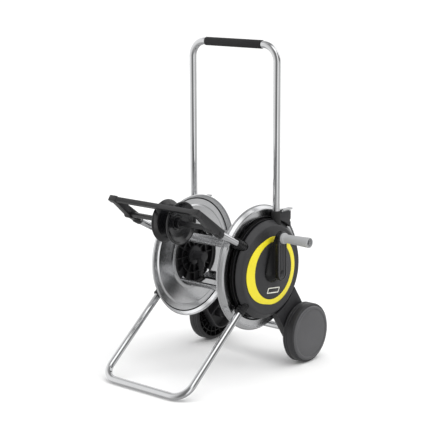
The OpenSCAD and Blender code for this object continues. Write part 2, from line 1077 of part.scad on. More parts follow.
module tread() {
    ri = wheel_r - tread_t;
    translate([0, axle_back, wheel_r])
        xrev([
            [ri, wheel_x0], [wheel_r - 4, wheel_x0], [wheel_r, wheel_x0 + 4], [wheel_r, wheel_x0 + 8],
            [wheel_r - 1.5, wheel_x0 + 9], [wheel_r - 1.5, wheel_x0 + 11], [wheel_r, wheel_x0 + 12],
            [wheel_r, wheel_x0 + 16], [wheel_r - 1.5, wheel_x0 + 17], [wheel_r - 1.5, wheel_x0 + 19],
            [wheel_r, wheel_x0 + 20], [wheel_r, wheel_x1 - 11], [wheel_r - 1.2, wheel_x1 - 7.5],
            [wheel_r - 3.6, wheel_x1 - 5.4], [ri, wheel_x1 - 4.8]
        ]);
}

module right_tread() {
    color("#333436")
        tread();
}

module left_tread() {
    color("#333436")
        mirrored()
            tread();
}

module wheel_cover() {
    r = wheel_r - tread_t - 0.1;
    translate([0, axle_back, wheel_r])
        xrev([
            [0, wheel_x1 - 4], [0, wheel_x1], [r - 40, wheel_x1 - 0.3], [r - 18, wheel_x1 - 1.4],
            [r - 12.5, wheel_x1 - 2.6], [r - 11, wheel_x1 - 2.4], [r - 9.5, wheel_x1 - 0.9], [r - 7, wheel_x1 - 0.5],
            [r - 4, wheel_x1 - 1.2], [r - 1.2, wheel_x1 - 3.2], [r, wheel_x1 - 5], [r, wheel_x1 - 5.9],
            [r - 12, wheel_x1 - 5.9]
        ]);
}

module right_wheel_cover() {
    color("#4a4b4e")
        wheel_cover();
}

module left_wheel_cover() {
    color("#4a4b4e")
        mirrored()
            wheel_cover();
}

module handle_tube() {
    color("silver")
        translate([0, handle_y, handle_top])
            rotate([0, 180, 0])
                u_tube(frame_x, handle_top - handle_foot, handle_bend);
}

module handle_grip() {
    color("#141416")
        translate([0, handle_y, handle_top])
            xring(-grip_half, grip_half, grip_r, tube_r + 0.05);
}

// A clamp lever: a cam eye on its pin and a flat pull tab with a turned-up end
module clamp_lever() {
    x0 = plate_x0 + 10.4;
    x1 = block_x1 - 5.4;
    low = block_z1 + 0.6;
    xplate(x0, x1) {
        translate([lever_pin_y, lever_pin_z])
            circle(r = 3.7);
        polygon([
            [lever_pin_y, low], [lever_y1 - 1, low], [lever_y1 + 5, low + 1.5], [lever_y1 + 4.4, low + 5.6],
            [lever_y1 - 4, low + lever_t - 0.4], [lever_pin_y, low + lever_t + 1.5]
        ]);
    }
    translate([0, lever_pin_y, lever_pin_z])
        xcyl(plate_x0 + 6, block_x1 - 1.5, lever_pin_r);
}

module right_clamp_lever() {
    color("#b4b6b8")
        clamp_lever();
}

module left_clamp_lever() {
    color("#b4b6b8")
        mirrored()
            clamp_lever();
}

placed() right_side_frame();
placed() left_side_frame();
placed() right_cover();
placed() left_cover();
placed() accent_ring();
placed() badge_plate();
placed() right_handle_sleeve();
placed() left_handle_sleeve();
placed() right_guide_socket();
placed() left_guide_socket();
placed() right_stand_socket();
placed() left_stand_socket();
placed() stand_tube();
placed() axle_tube();
placed() wheel_axle();
placed() axle_clips();
placed() cover_screws();
placed() inlet_pipe();
placed() swivel_seal();
placed() inlet_elbow();
placed() inlet_nut();
placed() inlet_nipple();
placed() right_guide_tube();
placed() left_guide_tube();
placed() right_guide_arm();
placed() left_guide_arm();
placed() guide_top_bar();
placed() guide_rod();
placed() guide_screws();
placed() guide_bush();
placed() right_guide_disc();
placed() left_guide_disc();
placed() right_flange();
placed() left_flange();
placed() core_bar_1();
placed() core_bar_2();
placed() core_bar_3();
placed() core_bar_4();
placed() right_hub();
placed() left_hub();
placed() hub_screws();
placed() clutch_housing();
placed() drive_clutch();
placed() swivel_elbow();
placed() drum_nipple();
placed() crank_shaft();
placed() crank_arm();
placed() crank_screw();
placed() grip_pin();
placed() crank_grip();
placed() right_wheel();
placed() left_wheel();
placed() right_tread();
placed() left_tread();
placed() right_wheel_cover();
placed() left_wheel_cover();
placed() handle_tube();
placed() handle_grip();
placed() right_clamp_lever();
placed() left_clamp_lever();
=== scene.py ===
"""Garden hose reel cart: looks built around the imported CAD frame."""

import json
import math

import bmesh
import bpy
from mathutils import Matrix, Vector


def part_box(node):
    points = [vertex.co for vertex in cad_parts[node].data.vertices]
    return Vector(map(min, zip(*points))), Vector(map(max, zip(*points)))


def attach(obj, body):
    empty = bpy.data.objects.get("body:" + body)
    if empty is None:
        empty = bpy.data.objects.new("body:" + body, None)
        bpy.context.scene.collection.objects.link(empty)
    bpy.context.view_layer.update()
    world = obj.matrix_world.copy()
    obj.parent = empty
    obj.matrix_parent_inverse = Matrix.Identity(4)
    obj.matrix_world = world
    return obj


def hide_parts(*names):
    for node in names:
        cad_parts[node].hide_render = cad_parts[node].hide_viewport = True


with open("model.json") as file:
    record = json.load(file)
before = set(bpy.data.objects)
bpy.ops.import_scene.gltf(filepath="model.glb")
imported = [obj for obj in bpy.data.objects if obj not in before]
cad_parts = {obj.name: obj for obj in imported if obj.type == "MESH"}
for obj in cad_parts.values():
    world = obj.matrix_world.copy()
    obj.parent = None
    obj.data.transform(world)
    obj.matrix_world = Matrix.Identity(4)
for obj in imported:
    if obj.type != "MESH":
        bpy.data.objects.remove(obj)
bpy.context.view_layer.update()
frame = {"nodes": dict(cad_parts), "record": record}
NODES = frame["nodes"]
BODY_OF = {n: b for b, ns in frame["record"]["behaviour"]["bodies"].items() for n in ns}
SLOT_OF = {s["node"]: s["material_slot"] for s in frame["record"]["subparts"]}
MM = 0.001
TAU = 2 * math.pi


def middle(node):
    """The middle of a CAD node's box, in the row frame."""
    lo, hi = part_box(node)
    return (lo + hi) / 2


# Drum coordinates: X along the drum axis, Y back, Z up from the ground, all in millimetres.
DRUM = Vector((middle("stand_tube").x, middle("right_flange").y, 0))
AXIS = Vector((DRUM.x, DRUM.y, middle("right_flange").z))
DRUM_H = AXIS.z / MM


def at(x, y, z):
    """A point given in drum coordinates, in the row frame."""
    return DRUM + Vector((x, y, z)) * MM


# ---------------------------------------------------------------- camera

CAMERA_AT = (2.51139, -2.98417, 1.30076)
CAMERA_TURN = (40.286, 11.957, -0.23)  # degrees round the cart, degrees above it, and the roll
CAMERA_LENS = 110.013
CAMERA_SENSOR = 36
CAMERA_REACH = 300


def make_camera():
    """Sets the photograph's viewing angle and returns the direction from the cart to the camera."""
    azimuth, elevation, roll = map(math.radians, CAMERA_TURN)
    sa, ca = math.sin(azimuth), math.cos(azimuth)
    se, ce = math.sin(elevation), math.cos(elevation)
    back = Vector((sa * ce, -ca * ce, se))
    right = Vector((ca, sa, 0))
    up = back.cross(right)
    side = math.cos(roll) * right + math.sin(roll) * up
    top = math.cos(roll) * up - math.sin(roll) * right
    data = bpy.data.cameras.new("camera")
    data.sensor_width = CAMERA_SENSOR
    data.lens = CAMERA_LENS
    data.clip_end = CAMERA_REACH
    camera = bpy.data.objects.new("camera", data)
    turn = Matrix((side, top, back)).transposed().to_4x4()
    camera.matrix_world = Matrix.Translation(CAMERA_AT) @ turn
    bpy.context.scene.collection.objects.link(camera)
    bpy.context.scene.camera = camera
    return back


CAMERA_SIDE = make_camera()


# ---------------------------------------------------------------- materials

class Graph:
    """A small helper that adds and links shader nodes."""

    def __init__(self, tree):
        self.tree = tree
        tree.nodes.clear()

    def add(self, kind, inputs=None, **values):
        node = self.tree.nodes.new(kind)
        for key, value in values.items():
            setattr(node, key, value)
        for key, value in (inputs or {}).items():
            if isinstance(value, bpy.types.NodeSocket):
                self.tree.links.new(value, node.inputs[key])
            else:
                node.inputs[key].default_value = value
        return node

    def math(self, operation, a, b=0.0, c=0.0):
        return self.add("ShaderNodeMath", {0: a, 1: b, 2: c}, operation=operation).outputs[0]

    def noise(self, vector, scale, detail=4.0, rough=0.55):
        return self.add("ShaderNodeTexNoise", {"Vector": vector, "Scale": scale, "Detail": detail,
                                               "Roughness": rough}).outputs["Fac"]

    def span(self, value, low, high, from_low=0.3, from_high=0.7):
        """Maps a value from one range to another and holds it at both ends."""
        return self.add("ShaderNodeMapRange", {"Value": value, "From Min": from_low, "From Max": from_high,
                                               "To Min": low, "To Max": high}).outputs["Result"]

    def band(self, value, rise, fall):
        """1 between two soft edges, each given as the values where it starts and ends, and 0 outside them."""
        return self.math("MULTIPLY", self.span(value, 0, 1, *rise), self.span(value, 1, 0, *fall))

    def mix(self, fac, a, b, blend="MIX"):
        node = self.add("ShaderNodeMix", {0: fac, 6: a, 7: b}, data_type="RGBA", blend_type=blend)
        return node.outputs[2]


def shade(rgb, k):
    """A colour made lighter or darker, with full alpha."""
    return tuple(min(1.0, c * k) for c in rgb) + (1.0,)


BLOTCH_SCALE = 14
MIDDLE_SCALE = 9 * BLOTCH_SCALE
EDGE_REACH = 0.0012


def material(name, rgb, rough=(0.4, 0.5), metallic=0.0, vary=0.1, grain=(900, 0.00006), edge=0.0,
             specular=0.5, kind="plain", centre=(0, 0, 0), stretch=(1, 1, 1), turn=0.0):
    """A procedural finish. Colour and roughness vary in blotches, and grain is the texture's scale and depth.

    kind gives the grain's direction: spun runs round centre, drawn runs along a tube that leans by turn.
    edge is how far edges turn lighter, partly as wear and partly as a painted highlight.
    """
    mat = bpy.data.materials.new(name)
    mat.use_nodes = True
    g = Graph(mat.node_tree)
    place = g.add("ShaderNodeTexCoord").outputs["Object"]
    local = g.add("ShaderNodeMapping", {"Vector": place, "Location": [-c for c in centre]}).outputs[0]
    directed = local
    if kind == "spun":
        split = g.add("ShaderNodeSeparateXYZ", {0: local})
        radius = g.math("SQRT", g.math("ADD", g.math("MULTIPLY", split.outputs[1], split.outputs[1]),
                                       g.math("MULTIPLY", split.outputs[2], split.outputs[2])))
        directed = g.add("ShaderNodeCombineXYZ", {0: split.outputs[0], 1: radius, 2: 0.0}).outputs[0]
    elif kind == "drawn":
        turned = g.add("ShaderNodeMapping", {"Vector": local, "Rotation": (turn, 0, 0)}).outputs[0]
        directed = g.add("ShaderNodeMapping", {"Vector": turned, "Scale": stretch}).outputs[0]
    large = g.noise(local, BLOTCH_SCALE, 5)
    fine = g.noise(directed, grain[0], 6, 0.6)
    medium = g.noise(local, MIDDLE_SCALE, 4)
    colour = g.mix(g.span(large, 0, 1), shade(rgb, 1 - vary), shade(rgb, 1 + vary))
    colour = g.mix(g.span(fine, 0.0, 0.35, 0.45, 0.8), colour, shade(rgb, 1 - 1.6 * vary))
    # Edges turn lighter in blotches: part wear, part painted edge highlight.
    if edge:
        corner = g.add("ShaderNodeBevel", {"Radius": EDGE_REACH}, samples=4).outputs[0]
        flat = g.add("ShaderNodeNewGeometry").outputs["Normal"]
        sharp = g.add("ShaderNodeVectorMath", {0: corner, 1: flat}, operation="DOT_PRODUCT").outputs["Value"]
        edge_wear_and_highlight = g.math("MULTIPLY", g.span(sharp, 1.0, 0.0, 0.75, 0.98), g.span(medium, 0.3, 1.0))
        colour = g.mix(g.math("MULTIPLY", edge_wear_and_highlight, edge), colour, shade(rgb, 1.0 + 2.4 * (1 - sum(rgb) / 3)))
    rough_value = g.math("ADD", g.span(large, rough[0], rough[1]), g.span(medium, -0.03, 0.03))
    height = g.math("ADD", fine, g.math("MULTIPLY", medium, 0.6))
    bump = g.add("ShaderNodeBump", {"Height": height, "Distance": grain[1], "Strength": 0.8})
    surface = g.add("ShaderNodeBsdfPrincipled", {"Base Color": colour, "Metallic": metallic,
                                                 "Roughness": rough_value, "Normal": bump.outputs[0],
                                                 "Specular IOR Level": specular})
    g.add("ShaderNodeOutputMaterial", {"Surface": surface.outputs[0]})
    return mat


STAND_TURN = math.atan(1.23)  # how far the stand's tubes lean from upright
GUIDE_TURN = math.radians(62)  # how far the hose guide's tubes lean from upright
TUBE = dict(rgb=(0.74, 0.745, 0.755), metallic=1.0, vary=0.03, grain=(260, 0.000008), kind="drawn",
            stretch=(4, 4, 0.05))
FINISHES = {
    "frame_plastic": dict(rgb=(0.022, 0.022, 0.024), rough=(0.42, 0.55), grain=(1500, 0.00006), edge=0.25),
    "cover_plastic": dict(rgb=(0.030, 0.030, 0.032), rough=(0.38, 0.5), grain=(1300, 0.00008), edge=0.25),
    "accent_yellow": dict(rgb=(0.80, 0.69, 0.022), rough=(0.3, 0.4), vary=0.05, grain=(900, 0.00003)),
    "badge_plate": dict(rgb=(0.74, 0.74, 0.66), rough=(0.3, 0.42), vary=0.05, grain=(1200, 0.00004)),
    "badge_dark": dict(rgb=(0.020, 0.020, 0.021), rough=(0.3, 0.42), vary=0.08, grain=(1200, 0.00004)),
    # A flat black that paints shade into the gaps between the drum flanges, the covers and the frame plates.
    "painted_shadow_dark": dict(rgb=(0.004, 0.004, 0.004), rough=(0.6, 0.75), vary=0.3, grain=(900, 0.00004),
                      specular=0.1),
    "socket_plastic": dict(rgb=(0.003, 0.003, 0.0035), rough=(0.20, 0.30), grain=(900, 0.00003), edge=0.10),
    "chrome_tube": dict(TUBE, rough=(0.09, 0.15)),
    "stand_chrome": dict(TUBE, rough=(0.09, 0.15), turn=-STAND_TURN),
    "guide_chrome": dict(TUBE, rough=(0.10, 0.16), turn=-GUIDE_TURN),
    "drum_steel": dict(rgb=(0.72, 0.725, 0.735), rough=(0.20, 0.25), metallic=1.0, vary=0.03,
                       grain=(420, 0.000004), kind="spun", centre=tuple(AXIS)),
    "bar_steel": dict(rgb=(0.68, 0.685, 0.695), rough=(0.22, 0.30), metallic=1.0, vary=0.04,
                      grain=(300, 0.0000035), kind="drawn", stretch=(0.05, 3, 3)),
    "axle_steel": dict(rgb=(0.50, 0.505, 0.52), rough=(0.25, 0.36), metallic=1.0, vary=0.06,
                       grain=(300, 0.00002), kind="drawn", stretch=(3, 0.1, 0.1)),
    "screw_steel": dict(rgb=(0.46, 0.46, 0.47), rough=(0.28, 0.4), metallic=1.0, vary=0.08,
                        grain=(800, 0.00003)),
    "dark_screw": dict(rgb=(0.055, 0.055, 0.058), rough=(0.3, 0.42), metallic=1.0, grain=(800, 0.00003)),
    "brass": dict(rgb=(0.72, 0.53, 0.24), rough=(0.22, 0.34), metallic=1.0, vary=0.08, grain=(500, 0.00003)),
    "seal_rubber": dict(rgb=(0.015, 0.015, 0.015), rough=(0.6, 0.75), grain=(800, 0.00005)),
    "elbow_plastic": dict(rgb=(0.025, 0.025, 0.027), rough=(0.36, 0.5), edge=0.2),
    "nut_plastic": dict(rgb=(0.11, 0.11, 0.115), rough=(0.35, 0.48), edge=0.2),
    "nipple_plastic": dict(rgb=(0.035, 0.035, 0.037), rough=(0.34, 0.46), edge=0.15),
    "guide_plastic": dict(rgb=(0.013, 0.013, 0.014), rough=(0.26, 0.38), grain=(1300, 0.00006), edge=0.25,
                          specular=0.6),
    "disc_plastic": dict(rgb=(0.006, 0.006, 0.007), rough=(0.17, 0.25), grain=(700, 0.00002), edge=0.10,
                         specular=0.7),
    "hub_plastic": dict(rgb=(0.008, 0.008, 0.009), rough=(0.3, 0.45), grain=(900, 0.00004), edge=0.2),
    # The crank arm's plastic is darkened to paint shade on its sides; the next entry is a lighter copy of it
    # that paints light on the outer face and ribs.
    "crank_plastic": dict(rgb=(0.0035, 0.0035, 0.004), rough=(0.24, 0.34), grain=(1300, 0.00006), edge=0.25,
                          specular=0.35),
    "crank_lit_face": dict(rgb=(0.045, 0.045, 0.048), rough=(0.30, 0.42), grain=(1300, 0.00006), edge=0.15),
    "grip_grey": dict(rgb=(0.36, 0.365, 0.37), rough=(0.36, 0.48), vary=0.05, grain=(1200, 0.00006),
                      edge=0.1),
    "wheel_plastic": dict(rgb=(0.010, 0.010, 0.011), rough=(0.36, 0.5), grain=(1000, 0.00006), edge=0.2),
    "tread_plastic": dict(rgb=(0.026, 0.026, 0.028), rough=(0.42, 0.58), grain=(1000, 0.0001), edge=0.15),
    "wheel_cover_plastic": dict(rgb=(0.085, 0.085, 0.089), rough=(0.36, 0.48), grain=(1300, 0.00008),
                                edge=0.2),
    "handle_foam": dict(rgb=(0.012, 0.012, 0.013), rough=(0.6, 0.8), vary=0.2, grain=(500, 0.00025)),
    "lever_plastic": dict(rgb=(0.40, 0.405, 0.41), rough=(0.36, 0.48), vary=0.05, edge=0.1),
}
MATERIALS = {name: material(name, **finish) for name, finish in FINISHES.items()}
NODE_FINISH = {
    "stand_tube": "stand_chrome", "right_guide_tube": "guide_chrome", "left_guide_tube": "guide_chrome",
    "core_bar_1": "bar_steel", "core_bar_2": "bar_steel", "core_bar_3": "bar_steel",
    "core_bar_4": "bar_steel", "crank_screw": "dark_screw", "right_handle_sleeve": "seal_rubber",
    "left_handle_sleeve": "seal_rubber",
}


# ---------------------------------------------------------------- CAD nodes

# How wide the softened edges are, in millimetres.
PLAIN_EDGE = 0.5
EDGE_WIDTH = {
    "right_side_frame": 1.2, "left_side_frame": 1.2, "right_cover": 1.2, "left_cover": 1.2,
    "guide_top_bar": 2.2, "right_guide_arm": 2.2, "left_guide_arm": 2.2, "handle_tube": 0.3,
    "stand_tube": 0.3, "right_guide_tube": 0.3, "left_guide_tube": 0.3, "axle_tube": 0.3,
    "right_handle_sleeve": 0.8, "left_handle_sleeve": 0.8, "handle_grip": 1.5,
    "right_clamp_lever": 0.8, "left_clamp_lever": 0.8, "swivel_seal": 0, "accent_ring": 0.4,
    "badge_plate": 0.4, "inlet_elbow": 0.8, "swivel_elbow": 0.8,
}
WELD_REACH = 0.00001
FLAT_ANGLE = math.radians(0.4)
SHARP_ANGLE = math.radians(28)


def soften(obj, width, segments=3):
    """Rounds an object's sharp edges. width is in millimetres."""
    bevel = obj.modifiers.new("soft", "BEVEL")
    bevel.width = width * MM
    bevel.segments = segments
    bevel.limit_method = "ANGLE"
    bevel.angle_limit = SHARP_ANGLE
    bevel.harden_normals = True
    return bevel


def finish_node(name, obj):
    """Gives a CAD node its finish, smooth curved faces and softened edges."""
    obj.data.materials.clear()
    obj.data.materials.append(MATERIALS[NODE_FINISH.get(name, SLOT_OF[name])])
    for face in obj.data.polygons:
        face.material_index = 0
        face.use_smooth = True
    width = EDGE_WIDTH.get(name, PLAIN_EDGE)
    weld = obj.modifiers.new("weld", "WELD")
    weld.merge_threshold = WELD_REACH
    if width:
        flat = obj.modifiers.new("flat", "DECIMATE")
        flat.decimate_type = "DISSOLVE"
        flat.angle_limit = FLAT_ANGLE
        bevel = soften(obj, width)
        bevel.use_clamp_overlap = True
        bevel.miter_outer = "MITER_ARC"


for node_name, node in NODES.items():
    finish_node(node_name, node)


# ---------------------------------------------------------------- mesh tools

def new_object(name, mesh, finish, body, slot, *replaced):
    """Adds a piece that moves with a body, in place of the CAD nodes named last."""
    obj = bpy.data.objects.new(name, mesh)
    bpy.context.scene.collection.objects.link(obj)
    mesh.materials.append(MATERIALS[finish])
    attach(obj, body)
    if replaced:
        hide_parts(*replaced)
    return obj


def from_bmesh(bm, name):
    """Turns a finished bmesh into a smooth-shaded mesh with its faces outward."""
    bmesh.ops.recalc_face_normals(bm, faces=bm.faces)
    mesh = bpy.data.meshes.new(name)
    bm.to_mesh(mesh)
    bm.free()
    for face in mesh.polygons:
        face.use_smooth = True
    return mesh


NEARLY_STRAIGHT = math.radians(88.5)
NEARLY_FOLDED = 0.02


def rounded(points, radius, closed=False, steps=5):
    """A polyline with each corner turned into a curve. A point may carry its own radius as a third value."""
    out = []
    count = len(points)
    for i, p in enumerate(points):
        r = p[2] if len(p) > 2 else radius
        here = Vector(p[:2])
        if not closed and i in (0, count - 1) or r <= 0:
            out.append(here)
            continue
        a, b = Vector(points[i - 1][:2]) - here, Vector(points[(i + 1) % count][:2]) - here
        la, lb = a.length, b.length
        a, b = a / la, b / lb
        half = math.acos(max(-1.0, min(1.0, a.dot(b)))) / 2
        if half > NEARLY_STRAIGHT or half < NEARLY_FOLDED:
            out.append(here)
            continue
        cut = min(r / math.tan(half), 0.48 * la, 0.48 * lb)
        start, end = here + a * cut, here + b * cut
        for s in range(steps + 1):
            t = s / steps
            out.append((1 - t) ** 2 * start + 2 * t * (1 - t) * here + t ** 2 * end)
    return out


def revolve(bm, profile, centre, segments=160, closed=False):
    """Turns a profile of (radius, x) points about the X direction through centre, in drum coordinates."""
    rings = []
    for i in range(segments):
        a = TAU * i / segments
        c, s = math.cos(a), math.sin(a)
        rings.append([bm.verts.new(at(centre[0] + x, centre[1] + r * c, centre[2] + r * s))
                      for r, x in profile])
    count = len(profile)
    for i in range(segments):
        here, there = rings[i], rings[(i + 1) % segments]
        for j in range(count if closed else count - 1):
            k = (j + 1) % count
            bm.faces.new((here[j], here[k], there[k], there[j]))
    bmesh.ops.remove_doubles(bm, verts=bm.verts, dist=1e-6)


def lathe(name, profile, centre, finish, body, slot, *replaced, radius=1.0, closed=True, facing=1,
          segments=160, thick=0.0):
    """A turned piece with softened corners. facing is 1 towards the crank side and -1 away from it."""
    points = rounded(profile, radius, closed)
    bm = bmesh.new()
    revolve(bm, [(p[0], facing * p[1]) for p in points], centre, segments, closed)
    obj = new_object(name, from_bmesh(bm, name), finish, body, slot, *replaced)
    if thick:
        shell = obj.modifiers.new("sheet", "SOLIDIFY")
        shell.thickness = thick * MM
        shell.offset = 0
    return obj


def loft(bm, layers):
    """Joins closed outlines of equal length into a capped solid. A layer is a list of row-frame points."""
    rings = [[bm.verts.new(p) for p in layer] for layer in layers]
    count = len(rings[0])
    for a, b in zip(rings, rings[1:]):
        for i in range(count):
            j = (i + 1) % count
            bm.faces.new((a[i], a[j], b[j], b[i]))
    bm.faces.new(rings[0][::-1])
    bm.faces.new(rings[-1])


def add_box(bm, lo, hi):
    """A box between two corners."""
    size = hi - lo
    middle_point = (hi + lo) / 2
    for v in bmesh.ops.create_cube(bm, size=1.0)["verts"]:
        v.co = Vector((v.co.x * size.x, v.co.y * size.y, v.co.z * size.z)) + middle_point


SIDES = (("right", 1), ("left", -1))


# ---------------------------------------------------------------- drum flanges and painted shadow rings

# Each profile is (distance from the drum axis, distance along it, corner radius) in millimetres.
FLANGE_SHEET = 1.0
FLANGE_PROFILE = [
    (97.6, 121.6, 0), (97.6, 127.5, 2.2), (106, 130.2, 5), (130, 132.9, 30),
    (155.5, 135.6, 2.5), (160, 138.9, 2.0),
    (177.0, 139.0, 0.5), (177.6, 142.2, 0.4), (180.4, 142.0, 0.4), (181.2, 137.4, 0.5),
    (188.6, 130.0, 3.5), (189.6, 127.4, 1.5), (189.0, 124.6, 1.2), (191.2, 123.8, 1.0),
    (192.1, 126.0, 1.2), (191.2, 128.2, 1.0), (190.4, 127.4, 0),
]
# Thin black rings of painted shade: in the flange's groove, in the gap under the cover's edge and along the
# frame plate's edge.
RIM_SHADOW_RING = [(177.9, 138.7), (180.6, 138.6), (180.6, 140.2), (177.9, 140.2)]
COVER_SHADOW_RING = [(144.2, 153.5), (144.3, 160.6), (142.0, 160.6), (142.0, 153.5)]
PLATE_R, PLATE_X0, PLATE_X1 = 152, 143, 150
PLATE_SHADOW_RING = [(PLATE_R - 0.4, PLATE_X0 + 1.2), (PLATE_R + 0.25, PLATE_X0 + 1.2),
              (PLATE_R + 0.25, PLATE_X1 + 2.6), (PLATE_R - 0.4, PLATE_X1 + 2.6)]
DRUM_CENTRE = (0, 0, DRUM_H)

for side, facing in SIDES:
    lathe(side + "_flange_sheet", FLANGE_PROFILE, DRUM_CENTRE, "drum_steel", "drum", "drum_steel",
          side + "_flange", closed=False, facing=facing, segments=192, thick=FLANGE_SHEET)

# These rings paint the shade of the flange groove, the cover gap and the plate edge in flat black.
for side, facing in SIDES:
    lathe(side + "_rim_shadow_ring", RIM_SHADOW_RING, DRUM_CENTRE, "painted_shadow_dark", "drum", "drum_steel",
          radius=0.2, facing=facing, segments=192)
    lathe(side + "_cover_shadow_ring", COVER_SHADOW_RING, DRUM_CENTRE, "painted_shadow_dark", "frame", "cover_plastic",
          radius=0.2, facing=facing)
    lathe(side + "_plate_shadow_ring", PLATE_SHADOW_RING, DRUM_CENTRE, "painted_shadow_dark", "frame", "frame_plastic",
          radius=0.1, facing=facing)


# ---------------------------------------------------------------- tube sockets

TUBE_R = 11
SLEEVE_BORE, SLEEVE_R, SLEEVE_GROOVE, SLEEVE_END = 11.1, 15.5, 2.4, 5.0
RIB_START = 0.28
RIB_POINTS = (0.12, 0.3, 0.5, 0.7, 0.88)
SLEEVE_SEGMENTS = 72


def sleeve_outline(start, end, ribs):
    """Half the section of a ribbed socket, as (radius, distance along the tube)."""
    core = SLEEVE_R - SLEEVE_GROOVE
    corner = 0.8
    step = (end - start - 2 * SLEEVE_END) / ribs
    outline = [(SLEEVE_BORE, start), (SLEEVE_R - corner, start), (SLEEVE_R, start + corner),
               (SLEEVE_R, start + SLEEVE_END - corner), (core, start + SLEEVE_END)]
    for i in range(ribs):
        low = start + SLEEVE_END + i * step
        outline.append((core, low + RIB_START * step))
        for t in RIB_POINTS:
            rise = SLEEVE_GROOVE * math.sin(math.pi * t)
            outline.append((core + rise, low + (RIB_START + (1 - RIB_START) * t) * step))
    return outline + [(core, end - SLEEVE_END), (SLEEVE_R, end - SLEEVE_END + corner),
                      (SLEEVE_R, end - corner), (SLEEVE_R - corner, end), (SLEEVE_BORE, end)]


def ribbed_sleeve(name, base, tilt, start, end, ribs, replaced):
    """A moulded socket with round ribs, along a tube that leans by tilt in the YZ plane from base."""
    outline = sleeve_outline(start, end, ribs)
    c, s = math.cos(tilt), math.sin(tilt)
    x, y, z = base
    bm = bmesh.new()
    rings = []
    for i in range(SLEEVE_SEGMENTS):
        a = TAU * i / SLEEVE_SEGMENTS
        u, v = math.cos(a), math.sin(a)
        rings.append([bm.verts.new(at(x + r * u, y + along * s + r * v * c, z + along * c - r * v * s))
                      for r, along in outline])
    for here, there in zip(rings, rings[1:] + rings[:1]):
        for j in range(len(outline)):
            k = (j + 1) % len(outline)
            bm.faces.new((here[j], here[k], there[k], there[j]))
    new_object(name, from_bmesh(bm, name), "socket_plastic", BODY_OF[replaced], SLOT_OF[replaced], replaced)


GUIDE_TUBE_X, GUIDE_TUBE_OFF = 160, 26
STAND_TUBE_X, STAND_FOOT_Y = 162, -380
GUIDE_BASE_Z = DRUM_H + GUIDE_TUBE_OFF / math.sin(GUIDE_TURN)
for side, facing in SIDES:
    ribbed_sleeve(side + "_guide_rib_socket", (facing * GUIDE_TUBE_X, 0, GUIDE_BASE_Z), -GUIDE_TURN,
                  108, 160, 5, side + "_guide_socket")
    ribbed_sleeve(side + "_stand_rib_socket", (facing * STAND_TUBE_X, STAND_FOOT_Y, TUBE_R), STAND_TURN,
                  318, 352, 3, side + "_stand_socket")


# ---------------------------------------------------------------- crank

BOSS_R, BOSS_OFF, ARM_HALF, ARM_LOW, ARM_TOP = 36.0, 6.0, 21.0, 26.0, 125.0
CRANK_X0, CRANK_X1 = 189.1, 222.0
GRIP_Z = 104
# (distance out from the foot, how far it has turned into the outer face's shape, inset)
FOOT_LAYERS = [(0.0, 0.0, 1.0), (0.5, 0.0, 0.2), (1.5, 0.05, 0.0)]
# (distance below the outer face, inset), over the raised lip and down into the recess
LIP_LAYERS = [(3, 0.0), (1.2, 0.5), (0.3, 1.5), (0, 2.8), (0, 4.2), (0.6, 5.0), (2.0, 5.6), (2.2, 6.6)]
LIP_START = 10
BLEND_STEPS = 6
LIT_FACE_TURN = 0.85
RIB_LINES = (-8.4, 0.0, 8.4)
RIB_HALF = 0.8



def arm_outline(inset, n):
    """The outer face's outline, a slot with round ends of n steps each, as (y, z) from the drum axis."""
    half, low, top = ARM_HALF - inset, ARM_LOW - inset, ARM_TOP - inset
    lower = [math.pi + math.pi * i / n for i in range(n + 1)]
    upper = [math.pi * i / n for i in range(n + 1)]
    return ([(half * math.cos(a), -low + half + half * math.sin(a)) for a in lower] +
            [(half * math.cos(a), top - half + half * math.sin(a)) for a in upper])


def blended(t, inset, n=19):
    """The crank arm's outline between its wide foot (t = 0) and its long outer face (t = 1)."""
    face = arm_outline(inset, n)
    reach = BOSS_R - inset
    foot = []
    for start in (math.pi, 0.0):
        for i in range(n + 1):
            a = start + math.pi * i / n
            foot.append((reach * math.cos(a) + BOSS_OFF * math.cos(a), reach * math.sin(a)))
    return [((1 - t) * f[0] + t * g[0], (1 - t) * f[1] + t * g[1]) for f, g in zip(foot, face)]


def crank_arm():
    """The arm swells from its foot on the drum shaft to a long outer face with a lip, a recess and ribs."""

    def section(x, t, inset):
        return [at(x, y, DRUM_H + z) for y, z in blended(t, inset)]

    out, turned, _ = FOOT_LAYERS[-1]
    reach = CRANK_X1 - LIP_START - CRANK_X0 - out
    layers = [section(CRANK_X0 + depth, t, inset) for depth, t, inset in FOOT_LAYERS]
    for k in range(1, BLEND_STEPS + 1):
        share = k / BLEND_STEPS
        swell = turned + (1 - turned) * math.sin(math.pi / 2 * share)
        layers.append(section(CRANK_X0 + out + reach * share, swell, 0.0))
    layers += [section(CRANK_X1 - depth, 1.0, inset) for depth, inset in LIP_LAYERS]
    bm = bmesh.new()
    loft(bm, layers)
    shell = new_object("crank_arm_shell", from_bmesh(bm, "crank_arm_shell"), "crank_plastic", "crank",
                       "crank_plastic", "crank_arm")
    shell.data.materials.append(MATERIALS["crank_lit_face"])
    # Faces turned outward take the lighter copy: painted light on the outer face, against painted shade on
    # the sides.
    for face in shell.data.polygons:
        if face.normal.x > LIT_FACE_TURN:
            face.material_index = 1
    ribs = bmesh.new()
    for y in RIB_LINES:
        add_box(ribs, at(CRANK_X1 - 3.2, y - RIB_HALF, DRUM_H - 14),
                at(CRANK_X1 - 0.7, y + RIB_HALF, DRUM_H + 84))
    # The ribs carry the same painted light as the outer face.
    rib = new_object("crank_arm_ribs", from_bmesh(ribs, "crank_arm_ribs"), "crank_lit_face", "crank",
                     "crank_plastic")
    soften(rib, 0.5)


